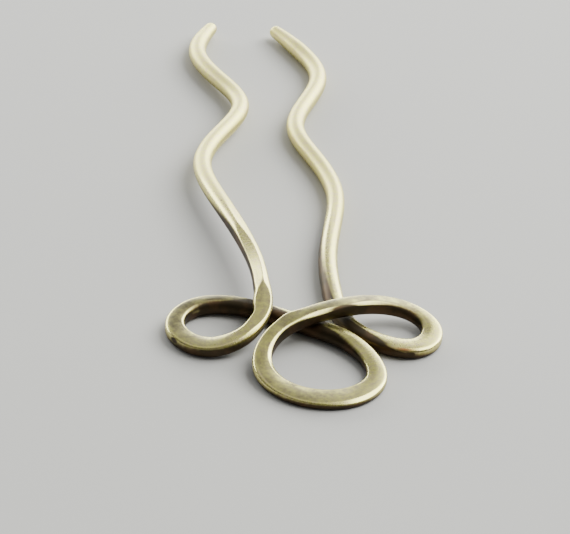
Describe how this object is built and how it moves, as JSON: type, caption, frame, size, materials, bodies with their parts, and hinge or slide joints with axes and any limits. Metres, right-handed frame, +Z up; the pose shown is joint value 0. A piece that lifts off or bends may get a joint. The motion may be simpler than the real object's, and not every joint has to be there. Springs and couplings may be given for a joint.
{
  "type": "hair fork",
  "caption": "Two-pronged hair fork bent from one antiqued brass wire: three hammered loops at the head, two wavy prongs that hold a bun.",
  "frame": {"origin": "middle of the footprint, on the surface that the fork lies on", "axes": "+Y towards the prong tips, -Y towards the looped head, +Z up from the surface, +X to the right seen from the head"},
  "size_m": [0.0364, 0.108, 0.0047],
  "materials": {
    "antiqued_brass": "antiqued brass, hammered and hand-polished, with dark patina left on its sides and crossings"
  },
  "bodies": {
    "root": {"fork_wire": "antiqued_brass"}
  },
  "joints": []
}
